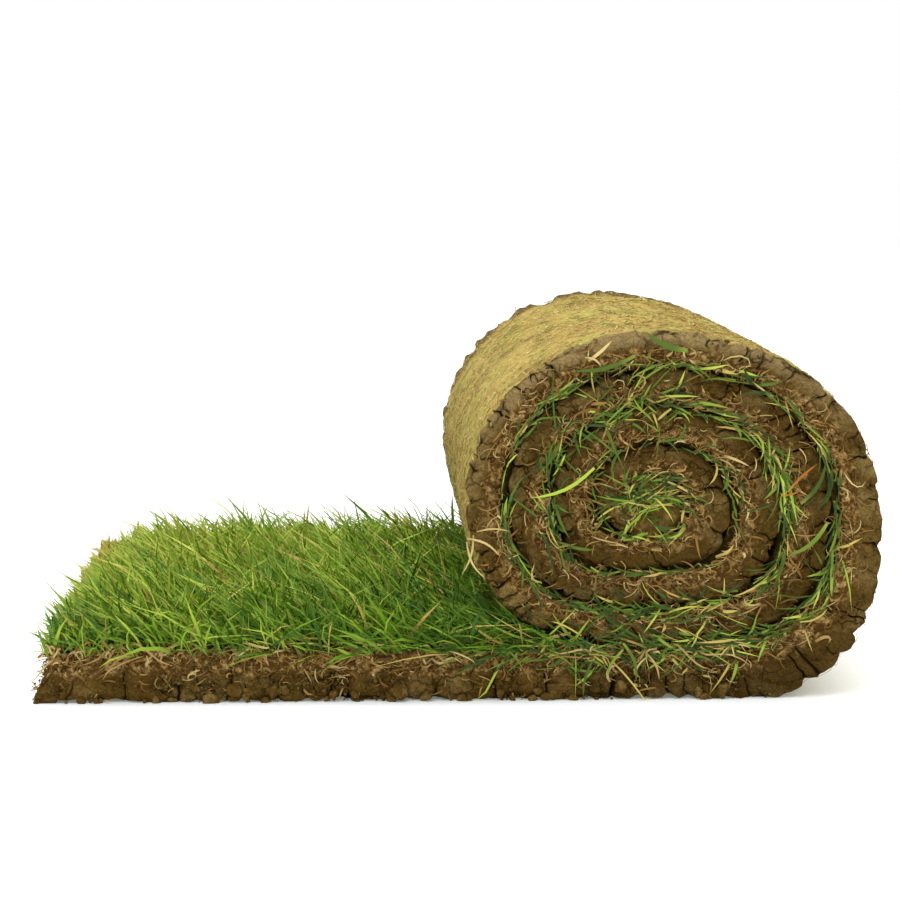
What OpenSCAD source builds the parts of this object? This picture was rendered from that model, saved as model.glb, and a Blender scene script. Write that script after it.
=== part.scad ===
// A strip of turf, rolled up with the grass inside, soil outside, and its last stretch left unrolled.
// It lies on level ground: X runs along the strip from the cut end to the roll, Y across it, Z up.
// The origin is on the ground, below the middle of the whole thing.

/* [Strip] */
// Width of the strip, across the roll
strip_w = 406; // [300:1:610]
// Thickness of soil, roots and thatch where the strip lies flat
mat_t = 30; // [20:0.5:45]
// Height of the standing grass above the mat
grass_h = 29; // [15:0.5:60]
// Length left flat, from the cut end to below the eye of the roll
tail_l = 364; // [250:1:700]

/* [Roll] */
// Turns in the roll, from below its eye to the inner end of the strip
turns = 4; // [2:1:6]
// Mean thickness of the mat pressed in the roll
rolled_t = 20.5; // [14:0.5:30]
// Mean thickness of the grass pressed between two turns
nap_t = 5; // [3:0.5:12]
// Mean radius left for grass inside the inner end of the mat
core_r = 2.5; // [1:0.5:15]

/* [Sag] */
// Reach of each turn to the right of the eye, as a share of its mean radius
reach_right = 1.19; // [0.9:0.01:1.3]
// Reach of each turn to the left of the eye
reach_left = 1.02; // [0.85:0.01:1.2]
// Reach of each turn above the eye
reach_top = 0.9; // [0.8:0.01:1.1]
// Reach of each turn below the eye
reach_bottom = 0.87; // [0.8:0.01:1.1]
// Squareness of the lower right corner, where 2 is round
square_low_right = 3.1; // [2:0.1:4]
// Squareness of the lower left corner
square_low_left = 2.5; // [2:0.1:4]
// Squareness of the two upper corners
square_top = 2; // [2:0.1:3]
// How level each turn lies at the bottom, from 0 for a steady spiral to 1 for level
bottom_level = 0.75; // [0:0.05:1]
// How far the outermost turn is flattened against the ground
flattened = 11; // [0:0.5:14]
// Turns into the roll at which the mat starts to thin from its flat thickness
thins_from = 0.06; // [0:0.01:0.12]
// Turns into the roll at which it has its rolled thickness
thins_to = 0.2; // [0.16:0.01:0.5]

/* [Hidden] */

soil_colour = [0.29, 0.19, 0.11];
grass_colour = [0.30, 0.46, 0.13];

// Points along each turn
points_per_turn = 48;
last = round(turns * points_per_turn);

pitch = rolled_t + nap_t;
mean_r = turns * pitch + rolled_t + core_r;
// The eye's height puts the flat stretch's mat on the ground
eye_z = reach_bottom * (mean_r - rolled_t) + mat_t;
grass_top = mat_t + grass_h;

// Direction from the eye after u turns: straight down at first, then right, up and left
function heading(u) = 360 * u - 90;

// Squareness of the corner that heading a points into
function squareness(a) = sin(a) >= 0 ? square_top : cos(a) >= 0 ? square_low_right : square_low_left;

// Reach of an oval of mean radius 1 along heading a
function reach(a) =
    let (
        n = squareness(a),
        across = abs(cos(a)) / (cos(a) >= 0 ? reach_right : reach_left),
        up = abs(sin(a)) / (sin(a) >= 0 ? reach_top : reach_bottom)
    ) pow(pow(across, n) + pow(up, n), -1 / n);

// Turns' worth of inward step after u turns, most of it gained over the top
function inward(u) = u - bottom_level * sin(360 * u) / (2 * PI);

// 1 where the mat has its flat thickness, easing to 0 where it has its rolled thickness
function flat_share(u) =
    let (t = max(0, min(1, (u - thins_from) / (thins_to - thins_from)))) 1 - t * t * (3 - 2 * t);

// Distance from the eye to the mat's grass side and to its soil side
function grass_side_r(u) = reach(heading(u)) * (mean_r - pitch * inward(u) - rolled_t);
function rolled_mat_t(u) = reach(heading(u)) * rolled_t;
function soil_side_r(u) =
    grass_side_r(u) + rolled_mat_t(u) + (mat_t + flattened - rolled_mat_t(u)) * flat_share(u);

function from_eye(u, r) = [r * cos(heading(u)), r * sin(heading(u))];
function turn_at(i) = i / points_per_turn;

// Both sides of the mat as seen from the eye, the soil side no lower than the ground
grass_side = [for (i = [0:last]) from_eye(turn_at(i), grass_side_r(turn_at(i)))];
soil_side = [
    for (i = [0:last])
        let (p = from_eye(turn_at(i), soil_side_r(turn_at(i)))) [p.x, max(p.y, -eye_z)]
];

// The eye stands where the whole thing is centred over the origin
roll_reach = max([for (p = soil_side) p.x]);
eye_x = (tail_l - roll_reach) / 2;
cut_end_x = eye_x - tail_l;
function placed(side) = [for (p = side) p + [eye_x, eye_z]];

// The soil side from where it leaves the ground
soil_outside = placed([for (i = [0:last]) if (i == last || soil_side[i + 1].y > -eye_z) soil_side[i]]);
grass_inside = placed(grass_side);

// The soil side that the grass lies against, from the inner end out to the roll's left flank
against_grass = placed([
    for (i = [last:-1:points_per_turn / 2])
        if (i >= points_per_turn || soil_side[i].y + eye_z < grass_top) soil_side[i]
]);

// Where the standing grass meets the flank at its full height
flank_low = against_grass[len(against_grass) - 1];
flank_high = placed([soil_side[last - len(against_grass)]])[0];
flank_x = flank_low.x
    + (flank_high.x - flank_low.x) * (grass_top - flank_low.y) / (flank_high.y - flank_low.y);

function backwards(list) = [for (i = [len(list) - 1:-1:0]) list[i]];

// Stands an outline drawn in X and Z across the strip's width
module across_strip(outline) {
    translate([0, strip_w / 2, 0]) rotate([90, 0, 0]) linear_extrude(strip_w) polygon(outline);
}

// Soil bound by roots and thatch, flat from the cut end and then wound inwards
module soil_mat() {
    color(soil_colour)
        across_strip(concat([[cut_end_x, 0]], soil_outside, backwards(grass_inside), [[cut_end_x, mat_t]]));
}

// Grass, standing on the flat stretch and pressed flat between the turns and in the eye
module grass() {
    color(grass_colour)
        across_strip(concat(
            [[cut_end_x, mat_t]], grass_inside, against_grass, [[flank_x, grass_top], [cut_end_x, grass_top]]
        ));
}

soil_mat();
grass();
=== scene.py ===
"""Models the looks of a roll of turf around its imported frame.

Most pieces are made on the strip as if it lay flat, at distances along it from the cut end, across its width
and up from the side that the grass grows on. roll_up() then winds them the way the frame's section is wound.
Only what fills the roll's eye and a few stems and blades on its front end are placed where they show.
"""

import math

import bpy
import numpy as np
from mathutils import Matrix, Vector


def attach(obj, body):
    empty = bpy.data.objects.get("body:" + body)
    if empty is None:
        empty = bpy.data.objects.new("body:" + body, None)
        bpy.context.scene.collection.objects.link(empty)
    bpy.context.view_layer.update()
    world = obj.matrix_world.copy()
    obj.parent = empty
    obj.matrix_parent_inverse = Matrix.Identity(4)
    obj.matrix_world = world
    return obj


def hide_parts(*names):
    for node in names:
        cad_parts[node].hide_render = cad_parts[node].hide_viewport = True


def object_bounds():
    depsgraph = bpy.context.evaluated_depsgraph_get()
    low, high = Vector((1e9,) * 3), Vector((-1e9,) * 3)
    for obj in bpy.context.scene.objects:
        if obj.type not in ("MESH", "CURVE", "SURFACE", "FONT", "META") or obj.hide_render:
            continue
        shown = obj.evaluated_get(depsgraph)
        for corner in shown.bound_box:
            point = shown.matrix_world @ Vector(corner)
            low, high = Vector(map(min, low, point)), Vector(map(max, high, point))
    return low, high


bl_info = {
    "name": "Turf Roll",
    "version": (1, 0, 0),
    "blender": (4, 5, 0),
    "location": "View3D > Sidebar > Turf",
    "description": "Models a strip of turf rolled up with the grass inside",
    "category": "Object",
}

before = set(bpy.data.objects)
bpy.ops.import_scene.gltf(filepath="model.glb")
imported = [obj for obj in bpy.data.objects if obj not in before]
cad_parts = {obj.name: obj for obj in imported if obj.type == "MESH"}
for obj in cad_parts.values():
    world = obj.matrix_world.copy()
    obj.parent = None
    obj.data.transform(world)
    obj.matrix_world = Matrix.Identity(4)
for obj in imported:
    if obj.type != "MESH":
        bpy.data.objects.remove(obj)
CAD_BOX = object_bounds()

MM = 0.001
POINTS_PER_TURN = 48  # corners that the frame's section has on each turn
STATION = 1 * MM  # distance between the stations that the strip's path is kept at
STRAND_ANGLE = 70  # degrees past which a strand's edges stay sharp
CUT_SLOPE, SLOPE_END = 11 * MM, 45 * MM  # how far the cut end slopes back, and how far along that shows
BARE_RIM, BARE_EDGE = 54 * MM, 30 * MM  # from the back edge to where the roots thin out, and end
WORN_WEDGE = 30 * MM  # how far the grass draws back from the cut end at the back corner
TURN_LENGTH = 0.6  # metres that count as a turn on the flat stretch, where turns are counted back from 0
MAT_SEED = 21  # the random numbers behind the cracks of the mat's outer stretch
OVERHANG = 80 * MM  # how far past the cut end the path goes on, for blades that hang over it
SAG = 7 * MM  # how far the outermost turn bulges past the frame's, low on its outer flank
SAG_TURN, SAG_SPREAD = 0.14, 0.06  # where that is and how far it spreads, in turns from the ground


# ------------------------------------------------------------------ the strip's path, read off the frame


def section_outline(node):
    """A CAD node's section as X and Z, in order from its lowest leftmost corner along its underside."""
    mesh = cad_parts[node].data
    grain = 0.01 * MM
    keys = [tuple(int(round(c / grain)) for c in v.co) for v in mesh.vertices]
    end = min(k[1] for k in keys)
    edges = set()
    for face in mesh.polygons:
        corners = [keys[i] for i in face.vertices]
        if all(c[1] == end for c in corners):
            edges.update(zip(corners, corners[1:] + corners[:1]))
    after = {a: b for a, b in edges if (b, a) not in edges}
    loop = [min(after, key=lambda k: (k[0], k[2]))]
    while after[loop[-1]] != loop[0]:
        loop.append(after[loop[-1]])
    return np.array(loop)[:, [0, 2]] * grain


def on_curve(values, at):
    """Values at fractional indexes of an evenly spaced list, on a smooth curve through it."""
    i = np.clip(at.astype(int), 0, len(values) - 2)
    t = at - i
    a, b, c, d = (values[np.clip(i + k, 0, len(values) - 1)] for k in (-1, 0, 1, 2))
    return b + t / 2 * (c - a + t * (2 * a - 5 * b + 4 * c - d + t * (3 * (b - c) + d - a)))


class Path:
    """Where the strip's grass side and soil side lie, at stations along the middle of its thickness."""

    def __init__(self):
        outline = section_outline("soil_mat")
        steps = np.diff(outline, axis=0)
        headings = np.unwrap(np.arctan2(steps[:, 1], steps[:, 0]))
        inner_corner = int(np.flatnonzero(np.abs(np.diff(headings)) > 1)[0]) + 1
        soil = outline[1 : inner_corner + 1]
        grass = outline[inner_corner + 1 : -1][::-1]
        self.eye = np.array([grass[0, 0], grass[POINTS_PER_TURN // 4, 1]])
        self.turns = (len(grass) - 1) / POINTS_PER_TURN
        index = np.linspace(0, len(grass) - 1, len(grass) * 16)
        turn = index / POINTS_PER_TURN
        lift_off = len(grass) - len(soil)
        grass_r = on_curve(np.hypot(*(grass - self.eye).T), index)
        soil_r = on_curve(np.hypot(*(soil - self.eye).T), np.maximum(index - lift_off, 0))
        grounded = index < lift_off
        soil_r[grounded] = self.eye[1] / np.cos(2 * np.pi * turn[grounded])
        ray = np.stack([np.sin(2 * np.pi * turn), -np.cos(2 * np.pi * turn)], 1)

        self.cut_end = outline[0, 0]
        mat = outline[-1, 1]
        flat = np.arange(self.cut_end - OVERHANG, self.eye[0] - STATION / 2, STATION)
        top = np.concatenate([np.stack([flat, flat * 0 + mat], 1), self.eye + grass_r[:, None] * ray])
        base = np.concatenate([np.stack([flat, flat * 0], 1), self.eye + soil_r[:, None] * ray])
        run = np.hypot(*np.diff((top + base) / 2, axis=0).T)
        run = np.concatenate([[0], np.cumsum(run)]) - OVERHANG
        self.along = np.arange(run[0], run[-1], STATION)
        self.length = float(self.along[-1])
        self.flat = float(self.eye[0] - self.cut_end)
        self.grass_side = np.stack([np.interp(self.along, run, c) for c in top.T], 1)
        self.soil_side = np.stack([np.interp(self.along, run, c) for c in base.T], 1)
        step = self.soil_side - self.grass_side
        self.thickness = np.hypot(*step.T)
        self.outward = step / self.thickness[:, None]
        self.turn = np.interp(self.along, run, np.concatenate([flat * 0, turn]))
        self.thickness += SAG * np.exp(-(((self.turn - SAG_TURN) / SAG_SPREAD) ** 2)) * (self.turn > 0)
        self.room = self.room_above(turn, grass_r, soil_r)

    def room_above(self, turn, grass_r, soil_r):
        """Height that is free above the grass side: up to the roll, to the next turn or into the eye."""
        here = np.interp(self.turn, turn, grass_r)
        next_turn = np.interp(self.turn + 1, turn, soil_r)
        rolled = np.where(self.turn + 1 <= self.turns, here - next_turn, 0.95 * here)
        flank = (turn > 0.75) & (turn < 1)
        flank_x = self.eye[0] + (soil_r * np.sin(2 * np.pi * turn))[flank]
        flank_z = self.eye[1] - (soil_r * np.cos(2 * np.pi * turn))[flank]
        under_roll = np.interp(self.grass_side[:, 0], flank_x, flank_z, left=1) - self.grass_side[:, 1]
        return np.where(self.along < self.flat, under_roll, rolled)

    def at(self, along, values):
        if values.ndim == 1:
            return np.interp(along, self.along, values)
        return np.stack([np.interp(along, self.along, c) for c in values.T], -1)

    def at_turn(self, turn):
        """Distance along the strip where it has wound this many turns."""
        return float(np.interp(turn, self.turn[self.along > self.flat], self.along[self.along > self.flat]))


PATH = Path()
HALF_WIDTH = (CAD_BOX[1].y - CAD_BOX[0].y) / 2


def xyz(*parts):
    """Vectors from their two or three parts, each a number or an array."""
    return np.stack(np.broadcast_arrays(*parts), -1)


def roll_up(points):
    """Winds points given flat as distances along, across and above the grass side.
    Nothing sinks into the ground."""
    section = PATH.at(points[..., 0], PATH.grass_side)
    section = section - points[..., 2:3] * PATH.at(points[..., 0], PATH.outward)
    return xyz(section[..., 0], points[..., 1], np.maximum(section[..., 1], 0))


# ------------------------------------------------------------------ noise


LATTICE_PRIMES = np.array([374761393, 668265263, 2147483647])
MIXING_PRIME = 1274126177


def hashed(cells, seed):
    """A number from 0 to 1 for each cell of a lattice."""
    n = (cells * LATTICE_PRIMES).sum(-1) + seed * MIXING_PRIME
    n = ((n ^ (n >> 13)) * MIXING_PRIME) & 0x7FFFFFFF
    return ((n ^ (n >> 16)) & 0xFFFFFF) / 0xFFFFFF


def noise(points, cell, seed=0):
    """Smooth noise from -1 to 1, with lumps about one cell across."""
    scaled = points / cell
    low = np.floor(scaled).astype(np.int64)
    f = scaled - low
    f = f * f * (3 - 2 * f)
    total = np.zeros(points.shape[:-1])
    for corner in np.ndindex(2, 2, 2):
        share = np.prod(np.where(corner, f, 1 - f), axis=-1)
        total += share * hashed(low + np.array(corner), seed)
    return total * 2 - 1


def ramp(x, low, high):
    """0 below low, 1 above high and a smooth step between them."""
    t = np.clip((x - low) / (high - low), 0, 1)
    return t * t * (3 - 2 * t)


def unit(vectors):
    return vectors / np.maximum(np.linalg.norm(vectors, axis=-1, keepdims=True), 1e-9)


def drawn(rng, n, mean, deviation, low, high):
    """Normally distributed numbers, held between two limits."""
    return np.clip(rng.normal(mean, deviation, n), low, high)


def skewed(rng, n, mean, deviation, low, high):
    """Numbers whose logarithms are normally distributed, held between two limits."""
    return np.clip(rng.lognormal(mean, deviation, n), low, high)


def sideways(rng, n, along, side, up):
    """Directions that face one long edge, give or take spreads along the strip and up."""
    return unit(xyz(rng.normal(0, along, n), side, rng.normal(0, up, n)))


# ------------------------------------------------------------------ meshes


def only(piece):
    bpy.ops.object.select_all(action="DESELECT")
    piece.select_set(True)
    bpy.context.view_layer.objects.active = piece


def new_piece(name, points, quads, triangles, tint=None):
    """A mesh object from arrays. tint gives each vertex its place on the colour map."""
    mesh = bpy.data.meshes.new(name)
    loops = np.concatenate([np.ravel(quads), np.ravel(triangles)]).astype(np.int32)
    sizes = np.concatenate([np.full(len(quads), 4), np.full(len(triangles), 3)])
    mesh.vertices.add(len(points))
    mesh.vertices.foreach_set("co", np.ravel(points).astype(np.float32))
    mesh.loops.add(len(loops))
    mesh.loops.foreach_set("vertex_index", loops)
    mesh.polygons.add(len(sizes))
    mesh.polygons.foreach_set("loop_start", (np.cumsum(sizes) - sizes).astype(np.int32))
    mesh.update(calc_edges=True)
    if tint is not None:
        layer = mesh.uv_layers.new(name="OFBake")
        layer.uv.foreach_set("vector", tint[loops].astype(np.float32).ravel())
    piece = bpy.data.objects.new(name, mesh)
    bpy.context.scene.collection.objects.link(piece)
    return piece


def get_points(piece):
    points = np.empty(len(piece.data.vertices) * 3, np.float32)
    piece.data.vertices.foreach_get("co", points)
    return points.reshape(-1, 3)


def set_points(piece, points):
    piece.data.vertices.foreach_set("co", np.ravel(points).astype(np.float32))


def write_attribute(piece, name, values):
    kind, field = ("FLOAT_VECTOR", "vector") if values.ndim == 2 else ("FLOAT", "value")
    layer = piece.data.attributes.new(name, kind, "POINT")
    layer.data.foreach_set(field, np.ravel(values).astype(np.float32))


def finish_piece(piece, finish, replaces=None, sharp=None):
    """Gives a piece its material and its place in the frame.
    sharp is the angle in degrees past which its edges stay sharp."""
    piece.data.materials.clear()
    piece.data.materials.append(bpy.data.materials[finish])
    only(piece)
    if sharp:
        bpy.ops.object.shade_smooth_by_angle(angle=math.radians(sharp))
    else:
        bpy.ops.object.shade_smooth()
    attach(piece, "root")
    if replaces:
        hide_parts(replaces)
    return piece


def sheet_grid(name, rings, rows):
    """A grid primitive to be rolled into a sleeve, and each vertex's ring and row.
    The last row lies on the first."""
    bpy.ops.object.select_all(action="DESELECT")
    bpy.ops.mesh.primitive_grid_add(x_subdivisions=rings - 1, y_subdivisions=rows, size=1)
    piece = bpy.context.active_object
    piece.name = piece.data.name = name
    flat = get_points(piece)
    ring = np.round((flat[:, 0] + 0.5) * (rings - 1)).astype(int)
    row = np.round((flat[:, 1] + 0.5) * rows).astype(int) % rows
    return piece, ring, row


def close_sleeve(piece, points):
    """Puts a grid's vertices in place, joins its seam, fills its ends and turns its faces outwards."""
    set_points(piece, points)
    only(piece)
    bpy.ops.object.mode_set(mode="EDIT")
    bpy.ops.mesh.select_all(action="SELECT")
    bpy.ops.mesh.remove_doubles(threshold=1e-7)
    bpy.ops.mesh.fill_holes(sides=0)
    bpy.ops.mesh.select_all(action="SELECT")
    bpy.ops.mesh.normals_make_consistent(inside=False)
    bpy.ops.object.mode_set(mode="OBJECT")
    return piece


def joined(name, pieces):
    only(pieces[0])
    for piece in pieces[1:]:
        piece.select_set(True)
    bpy.ops.object.join()
    pieces[0].name = pieces[0].data.name = name
    return pieces[0]


def strands(name, spine, width, flat_side, tint, keel=0.3):
    """Blades, stems or fibres as closed three-sided slivers that end in a point.
    spine holds each one's points from root to tip, width its width at each of them but the tip, flat_side
    the direction that its flat side faces, tint its place across the colour map, and keel its depth as a
    share of its width."""
    count, stations = spine.shape[:2]
    forward = unit(np.gradient(spine, axis=1))[:, :-1]
    side = unit(np.cross(forward, flat_side[:, None]))
    under = np.cross(side, forward)
    width = width[:, :, None]
    middle = spine[:, :-1]
    corners = [middle - side * width / 2, middle + side * width / 2, middle - under * width * keel]
    rings = np.stack(corners, 2).reshape(count, -1, 3)
    points = np.concatenate([rings, spine[:, -1:]], 1)
    points[..., 2] = np.maximum(points[..., 2], 0)
    per = points.shape[1]
    start = (np.arange(count) * per)[:, None]
    quads = []
    for s in range(stations - 2):
        for k in range(3):
            n = (k + 1) % 3
            quads.append([3 * s + k, 3 * s + n, 3 * s + 3 + n, 3 * s + 3 + k])
    last = 3 * (stations - 2)
    triangles = [[2, 1, 0]] + [[last + k, last + (k + 1) % 3, per - 1] for k in range(3)]
    quads = (start[:, :, None] + np.array(quads)).reshape(-1, 4)
    triangles = (start[:, :, None] + np.array(triangles)).reshape(-1, 3)
    across = np.append(np.tile([-0.008, 0.008, 0.0], stations - 1), 0.0)
    up = np.append(np.repeat(np.linspace(0.02, 0.85, stations - 1), 3), 0.98)
    map_x = np.clip(tint, 0.01, 0.99)[:, None] + across
    places = xyz(map_x, up).reshape(-1, 2)
    return new_piece(name, points.reshape(-1, 3), quads, triangles, places)


def arcs(root, length, reach, bend, stations, curl=0):
    """Spines that leave root along reach, curve by bend at the tip and by curl in a wave on the way there.
    reach, bend and curl are shares of the length."""
    t = np.linspace(0, 1, stations)[None, :, None]
    reach, bend, curl = ((part * length[:, None])[:, None] for part in (reach, bend, curl))
    return root[:, None] + reach * t + bend * t * t + curl * np.sin(2 * np.pi * t)


def kept_near(spine, past=12 * MM):
    """Holds what hangs over the mat's long edges and its cut end close to them."""
    wide = np.abs(spine[..., 1])
    over = np.maximum(wide - HALF_WIDTH, 0)
    across = np.sign(spine[..., 1]) * (wide - over + past * np.tanh(over / past))
    short = np.maximum(-spine[..., 0], 0)
    past_end = 0.8 * past
    along = spine[..., 0] + short - past_end * np.tanh(short / past_end)
    return xyz(along, across, spine[..., 2])


def blade_widths(width, stations, fullest=0.35):
    """A leaf's width at each station but the tip: narrow at its root, widest below its middle."""
    t = np.linspace(0, 1, stations)[:-1]
    shape = np.where(t < fullest, 0.7 + 0.3 * t / fullest, 1 - 0.75 * ((t - fullest) / (1 - fullest)) ** 2)
    return width[:, None] * shape


# ------------------------------------------------------------------ finishes


def tone(red, green, blue):
    """A colour as seen on screen, from 0 to 255, in the linear numbers that shaders take."""
    shades = (c / 255 for c in (red, green, blue))
    return tuple(((c + 0.055) / 1.055) ** 2.4 if c > 0.04045 else c / 12.92 for c in shades)


def feed(tree, socket, value):
    """Links a socket to another one, or gives it a value."""
    if isinstance(value, bpy.types.NodeSocket):
        tree.links.new(value, socket)
    else:
        socket.default_value = value


def add(tree, kind, *feeds, settings=None, **inputs):
    """Adds a node. feeds fill its sockets in order and inputs by name."""
    made = tree.nodes.new(kind)
    for key, value in (settings or {}).items():
        setattr(made, key, value)
    for index, value in enumerate(feeds):
        feed(tree, made.inputs[index], value)
    for name, value in inputs.items():
        feed(tree, made.inputs[name.replace("_", " ")], value)
    return made


def maths(tree, operation, *feeds):
    return add(tree, "ShaderNodeMath", *feeds, settings={"operation": operation}).outputs[0]


def blend(tree, factor, a, b, mode="MIX"):
    """A mix of two colours, each a socket or a colour."""
    made = add(tree, "ShaderNodeMix", factor, settings={"data_type": "RGBA", "blend_type": mode})
    for index, value in ((6, a), (7, b)):
        feed(tree, made.inputs[index], value if isinstance(value, bpy.types.NodeSocket) else (*value[:3], 1))
    return made.outputs[2]


def step(tree, value, low, high):
    """0 below low, 1 above high and a smooth step between them."""
    smooth = {"interpolation_type": "SMOOTHSTEP"}
    return add(tree, "ShaderNodeMapRange", value, low, high, 0.0, 1.0, settings=smooth).outputs[0]


def colours(tree, value, *stops):
    """A colour ramp through stops, each a position and a colour."""
    made = add(tree, "ShaderNodeValToRGB", value)
    points = made.color_ramp.elements
    while len(points) < len(stops):
        points.new(0.5)
    for point, (position, colour) in zip(points, stops):
        point.position = position
        point.color = (*colour, 1)
    return made.outputs[0]


def grain(tree, vector, scale, detail=3.0, roughness=0.6, stretch=None):
    """Noise at a scale in lumps a metre, stretched by a factor for each axis."""
    if stretch:
        vector = add(tree, "ShaderNodeMapping", vector, Scale=stretch).outputs[0]
    made = add(tree, "ShaderNodeTexNoise", Vector=vector, Scale=scale, Detail=detail, Roughness=roughness)
    return made.outputs[0]


def drift(tree, vector, scale, detail):
    """A vector that wanders, at a scale in lumps a metre."""
    return add(tree, "ShaderNodeTexNoise", Vector=vector, Scale=scale, Detail=detail).outputs[1]


def shifted(tree, vector, shifts, amounts):
    """A vector moved by shifts times an amount for each axis."""
    multiply_add = {"operation": "MULTIPLY_ADD"}
    return add(tree, "ShaderNodeVectorMath", shifts, amounts, vector, settings=multiply_add).outputs[0]


def turned(tree, vector, angle):
    """A vector turned about Z by an angle in radians."""
    about_z = {"rotation_type": "Z_AXIS"}
    return add(tree, "ShaderNodeVectorRotate", vector, Angle=angle, settings=about_z).outputs[0]


def new_material(name):
    material = bpy.data.materials.new(name)
    material.use_nodes = True
    material.node_tree.nodes.clear()
    return material


def surface(tree, **inputs):
    shader = add(tree, "ShaderNodeBsdfPrincipled", **inputs)
    add(tree, "ShaderNodeOutputMaterial", shader.outputs[0])


def dull_surface(tree, colour, height, roughness, strength, distance):
    """A surface without shine, with a bump of a strength and distance from a height."""
    bump = add(tree, "ShaderNodeBump", Strength=strength, Distance=distance, Height=height).outputs[0]
    surface(tree, Base_Color=colour, Roughness=roughness, Normal=bump, Specular_IOR_Level=0.03)


def mottle_group():
    """Three colours in soft patches: a main one, pale drier spots, and a dark one painted as shade in the
    pits where the specks are low.
    """
    tree = bpy.data.node_groups.new("Mottle", "ShaderNodeTree")
    inputs = {
        "Color": {"Main": (0.1, 0.1, 0.1, 1), "Dark": (0.05, 0.05, 0.05, 1), "Pale": (0.2, 0.2, 0.2, 1)},
        "Float": {"Patches": 60.0, "Specks": 600.0, "Pits": 0.6},
    }
    tree.interface.new_socket("Vector", in_out="INPUT", socket_type="NodeSocketVector")
    for kind, sockets in inputs.items():
        for label, default in sockets.items():
            socket = tree.interface.new_socket(label, in_out="INPUT", socket_type="NodeSocket" + kind)
            socket.default_value = default
    for label, kind in (("Color", "NodeSocketColor"), ("Height", "NodeSocketFloat")):
        tree.interface.new_socket(label, in_out="OUTPUT", socket_type=kind)
    given = tree.nodes.new("NodeGroupInput").outputs
    out = tree.nodes.new("NodeGroupOutput").inputs
    patches = grain(tree, given["Vector"], given["Patches"], 5.0, 0.6)
    specks = grain(tree, given["Vector"], given["Specks"], 4.0, 0.7)
    colour = blend(tree, step(tree, patches, 0.45, 0.68), given["Main"], given["Pale"])
    # Painted shade: the dark colour fills the pits, where the specks and so the height are low.
    pits = maths(tree, "MULTIPLY", step(tree, specks, 0.46, 0.3), given["Pits"])
    tree.links.new(blend(tree, pits, colour, given["Dark"]), out["Color"])
    tree.links.new(maths(tree, "MULTIPLY_ADD", patches, 2.0, specks), out["Height"])
    return tree


def mottled(tree, group, vector, main, pale, dark, patches, specks, pits=0.6):
    """Colour and height from the Mottle group. patches and specks are scales in lumps a metre."""
    shades = {"Main": (*main, 1), "Pale": (*pale, 1), "Dark": (*dark, 1)}
    numbers = {"Patches": patches, "Specks": specks, "Pits": pits}
    made = add(tree, "ShaderNodeGroup", settings={"node_tree": group}, Vector=vector, **shades, **numbers)
    return made.outputs["Color"], made.outputs["Height"]


def attribute(tree, name, output="Fac"):
    return add(tree, "ShaderNodeAttribute", settings={"attribute_name": name}).outputs[output]


def net_of_cracks(tree, vector, scale):
    """1 in a net of thin cracks, with a scale in meshes of the net a metre."""
    to_edge = {"feature": "DISTANCE_TO_EDGE"}
    net = add(tree, "ShaderNodeTexVoronoi", settings=to_edge, Vector=vector, Scale=scale)
    return step(tree, net.outputs["Distance"], 0.05, 0.0)


def broken_ground(tree, lie, shifts, dry, crumbs, soil):
    """Colour and height of crumbs that are paler under painted light high on the roll, and split by two nets
    of cracks that are darkened with painted shade.
    """
    colour, height = crumbs
    # Painted light: the soil is drawn paler high on the roll's outer turn.
    colour = blend(tree, maths(tree, "MULTIPLY", dry, 0.85), colour, soil.dry)
    jagged = shifted(tree, lie, shifts, (0.014,) * 3)
    jagged = shifted(tree, jagged, drift(tree, lie, 240.0, 3.0), (0.005,) * 3)
    here = step(tree, grain(tree, lie, 30.0), 0.45, 0.62)
    wide = maths(tree, "MULTIPLY", net_of_cracks(tree, jagged, 85.0), here)
    fine = maths(tree, "MULTIPLY", net_of_cracks(tree, jagged, 240.0), 0.22)
    split = maths(tree, "MAXIMUM", wide, fine)
    # Painted shade darkens the cracks.
    colour = blend(tree, maths(tree, "MULTIPLY", split, 0.7), colour, soil.hollow_shade)
    return colour, maths(tree, "MULTIPLY_ADD", split, -1.6, height)


SKIN_SPOTS = (  # scale, detail, roughness, stretch across, low and high limit, strength and colour
    (44.0, 6.0, 0.75, 0.4, 0.44, 0.62, 0.65, "root_green"),
    (170.0, 5.0, 0.75, 0.35, 0.52, 0.64, 0.55, "thatch"),
    (40.0, 6.0, 0.7, 0.4, 0.48, 0.68, 0.6, "smear"),
    (480.0, 2.0, 0.5, 0.3, 0.6, 0.72, 0.8, "root_pale"),
)


def root_skin(tree, lie, shifts, soil):
    """Colour and height of roots that cross each other, with greenish, bare and pale spots."""
    wavy = shifted(tree, lie, shifts, (0.02, 0.02, 0))
    two_ways = (
        grain(tree, turned(tree, wavy, angle), scale, 3.0, 0.65, (0.36, 1.0, 1.0))
        for angle, scale in ((1.25, 900.0), (1.95, 1000.0))
    )
    fibre = maths(tree, "MAXIMUM", *two_ways)
    stops = (0.42, soil.root_shade), (0.53, soil.root), (0.66, soil.root_light), (0.8, soil.root_pale)
    colour = colours(tree, fibre, *stops)
    for scale, detail, roughness, across, low, high, strength, shade in SKIN_SPOTS:
        spots = step(tree, grain(tree, lie, scale, detail, roughness, (1.0, across, 1.0)), low, high)
        colour = blend(tree, maths(tree, "MULTIPLY", spots, strength), colour, getattr(soil, shade))
    return colour, maths(tree, "MULTIPLY", fibre, 0.7)


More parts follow.
